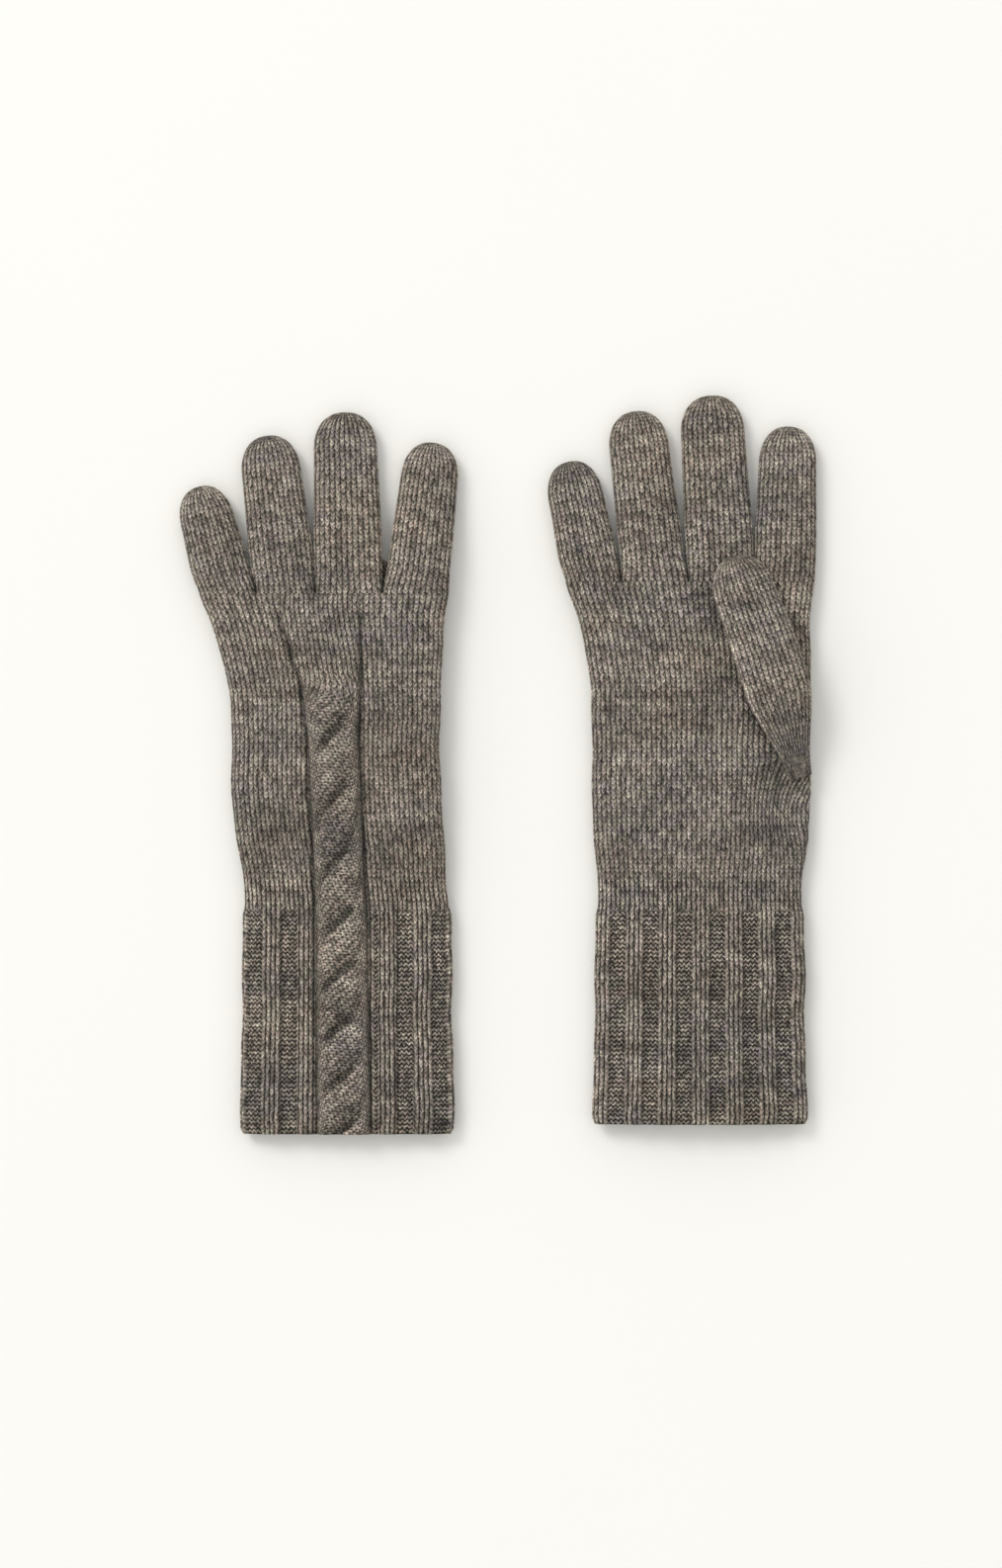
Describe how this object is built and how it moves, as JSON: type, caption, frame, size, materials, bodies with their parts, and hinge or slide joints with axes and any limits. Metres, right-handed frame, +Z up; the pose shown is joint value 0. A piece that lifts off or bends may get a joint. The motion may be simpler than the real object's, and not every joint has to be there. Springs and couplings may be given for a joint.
{
  "type": "pair of knitted gloves",
  "caption": "Pair of cable-knit wool gloves with long ribbed cuffs, laid flat, with folding wrists, fingers and thumbs.",
  "frame": {"origin": "under the middle of the pair, on the surface that it lies on", "axes": "+X across the pair from the left glove to the right glove, +Y to the fingertips, +Z up"},
  "size_m": [0.2617, 0.3032, 0.0199],
  "materials": {
    "plain_knit": "heathered plain-knit wool",
    "ribbed_knit": "heathered wool rib, three knit and three purl",
    "cable_knit": "heathered wool cable"
  },
  "bodies": {
    "left_hand": {"left_hand": "plain_knit", "left_hand_cable": "cable_knit", "left_little_finger_base": "plain_knit", "left_ring_finger_base": "plain_knit", "left_long_finger_base": "plain_knit", "left_fore_finger_base": "plain_knit"},
    "left_cuff": {"left_cuff": "ribbed_knit", "left_cuff_cable": "cable_knit"},
    "left_thumb": {"left_thumb_gusset": "plain_knit", "left_thumb_base": "plain_knit"},
    "left_thumb_end": {"left_thumb_tip": "plain_knit"},
    "left_little_finger_mid": {"left_little_finger_middle": "plain_knit"},
    "left_little_finger_end": {"left_little_finger_tip": "plain_knit"},
    "left_ring_finger_mid": {"left_ring_finger_middle": "plain_knit"},
    "left_ring_finger_end": {"left_ring_finger_tip": "plain_knit"},
    "left_long_finger_mid": {"left_long_finger_middle": "plain_knit"},
    "left_long_finger_end": {"left_long_finger_tip": "plain_knit"},
    "left_fore_finger_mid": {"left_fore_finger_middle": "plain_knit"},
    "left_fore_finger_end": {"left_fore_finger_tip": "plain_knit"},
    "right_hand": {"right_hand": "plain_knit", "right_hand_cable": "cable_knit", "right_little_finger_base": "plain_knit", "right_ring_finger_base": "plain_knit", "right_long_finger_base": "plain_knit", "right_fore_finger_base": "plain_knit"},
    "right_cuff": {"right_cuff": "ribbed_knit", "right_cuff_cable": "cable_knit"},
    "right_thumb": {"right_thumb_gusset": "plain_knit", "right_thumb_base": "plain_knit"},
    "right_thumb_end": {"right_thumb_tip": "plain_knit"},
    "right_little_finger_mid": {"right_little_finger_middle": "plain_knit"},
    "right_little_finger_end": {"right_little_finger_tip": "plain_knit"},
    "right_ring_finger_mid": {"right_ring_finger_middle": "plain_knit"},
    "right_ring_finger_end": {"right_ring_finger_tip": "plain_knit"},
    "right_long_finger_mid": {"right_long_finger_middle": "plain_knit"},
    "right_long_finger_end": {"right_long_finger_tip": "plain_knit"},
    "right_fore_finger_mid": {"right_fore_finger_middle": "plain_knit"},
    "right_fore_finger_end": {"right_fore_finger_tip": "plain_knit"}
  },
  "joints": [
    {"name": "left_wrist_fold", "type": "hinge", "parent": "left_hand", "child": "left_cuff", "pos_m": [-0.06225, -0.05935, 0.01225], "axis": [-1, 0, 0], "range_deg": [0, 90]},
    {"name": "left_little_first_knuckle", "type": "hinge", "parent": "left_hand", "child": "left_little_finger_mid", "pos_m": [-0.1157, 0.08574, 0.01425], "axis": [0.965, 0.2622, 0], "range_deg": [0, 100]},
    {"name": "left_little_second_knuckle", "type": "hinge", "parent": "left_little_finger_mid", "child": "left_little_finger_end", "pos_m": [-0.1191, 0.09828, 0.01325], "axis": [0.965, 0.2622, 0], "range_deg": [0, 75]},
    {"name": "left_ring_first_knuckle", "type": "hinge", "parent": "left_hand", "child": "left_ring_finger_mid", "pos_m": [-0.0898, 0.09114, 0.01387], "axis": [0.9923, 0.1236, 0], "range_deg": [0, 100]},
    {"name": "left_ring_second_knuckle", "type": "hinge", "parent": "left_ring_finger_mid", "child": "left_ring_finger_end", "pos_m": [-0.09227, 0.11099, 0.01232], "axis": [0.9923, 0.1236, 0], "range_deg": [0, 75]},
    {"name": "left_long_first_knuckle", "type": "hinge", "parent": "left_hand", "child": "left_long_finger_mid", "pos_m": [-0.06197, 0.09429, 0.01364], "axis": [0.9996, 0.0279, 0], "range_deg": [0, 100]},
    {"name": "left_long_second_knuckle", "type": "hinge", "parent": "left_long_finger_mid", "child": "left_long_finger_end", "pos_m": [-0.06264, 0.11828, 0.01178], "axis": [0.9996, 0.0279, 0], "range_deg": [0, 75]},
    {"name": "left_fore_first_knuckle", "type": "hinge", "parent": "left_hand", "child": "left_fore_finger_mid", "pos_m": [-0.03152, 0.09067, 0.01391], "axis": [0.9938, -0.1115, 0], "range_deg": [0, 100]},
    {"name": "left_fore_second_knuckle", "type": "hinge", "parent": "left_fore_finger_mid", "child": "left_fore_finger_end", "pos_m": [-0.02934, 0.11005, 0.0124], "axis": [0.9938, -0.1115, 0], "range_deg": [0, 75]},
    {"name": "left_thumb_fold", "type": "hinge", "parent": "left_hand", "child": "left_thumb", "pos_m": [-0.0237, 0.0153, 0.00435], "axis": [0, -1, 0], "range_deg": [0, 180]},
    {"name": "left_thumb_knuckle", "type": "hinge", "parent": "left_thumb", "child": "left_thumb_end", "pos_m": [-0.04788, 0.06039, -0.00015], "axis": [-0.9397, -0.342, 0], "range_deg": [0, 60]},
    {"name": "right_wrist_fold", "type": "hinge", "parent": "right_hand", "child": "right_cuff", "pos_m": [0.08285, -0.05935, 0.01225], "axis": [-1, 0, 0], "range_deg": [0, 90]},
    {"name": "right_little_first_knuckle", "type": "hinge", "parent": "right_hand", "child": "right_little_finger_mid", "pos_m": [0.03576, 0.09098, 0.01225], "axis": [0.9799, 0.1994, 0], "range_deg": [0, 100]},
    {"name": "right_little_second_knuckle", "type": "hinge", "parent": "right_little_finger_mid", "child": "right_little_finger_end", "pos_m": [0.03317, 0.10372, 0.01225], "axis": [0.9799, 0.1994, 0], "range_deg": [0, 75]},
    {"name": "right_ring_first_knuckle", "type": "hinge", "parent": "right_hand", "child": "right_ring_finger_mid", "pos_m": [0.06189, 0.09616, 0.01225], "axis": [0.9934, 0.1149, 0], "range_deg": [0, 100]},
    {"name": "right_ring_second_knuckle", "type": "hinge", "parent": "right_ring_finger_mid", "child": "right_ring_finger_end", "pos_m": [0.05959, 0.11603, 0.01225], "axis": [0.9934, 0.1149, 0], "range_deg": [0, 75]},
    {"name": "right_long_first_knuckle", "type": "hinge", "parent": "right_hand", "child": "right_long_finger_mid", "pos_m": [0.09031, 0.09926, 0.01225], "axis": [0.9984, 0.0558, 0], "range_deg": [0, 100]},
    {"name": "right_long_second_knuckle", "type": "hinge", "parent": "right_long_finger_mid", "child": "right_long_finger_end", "pos_m": [0.08897, 0.12323, 0.01225], "axis": [0.9984, 0.0558, 0], "range_deg": [0, 75]},
    {"name": "right_fore_first_knuckle", "type": "hinge", "parent": "right_hand", "child": "right_fore_finger_mid", "pos_m": [0.11816, 0.09579, 0.01225], "axis": [0.9996, -0.0297, 0], "range_deg": [0, 100]},
    {"name": "right_fore_second_knuckle", "type": "hinge", "parent": "right_fore_finger_mid", "child": "right_fore_finger_end", "pos_m": [0.11874, 0.11528, 0.01225], "axis": [0.9996, -0.0297, 0], "range_deg": [0, 75]},
    {"name": "right_thumb_fold", "type": "hinge", "parent": "right_hand", "child": "right_thumb", "pos_m": [0.1286, 0.0153, 0.01225], "axis": [0, 1, 0], "range_deg": [0, 180]},
    {"name": "right_thumb_knuckle", "type": "hinge", "parent": "right_thumb", "child": "right_thumb_end", "pos_m": [0.10442, 0.06039, 0.02005], "axis": [0.9397, 0.342, 0], "range_deg": [0, 60]},
    {"name": "glove_slide", "type": "slide", "parent": "left_hand", "child": "right_hand", "axis": [1, 0, 0], "range_m": [0, 0.15]}
  ]
}
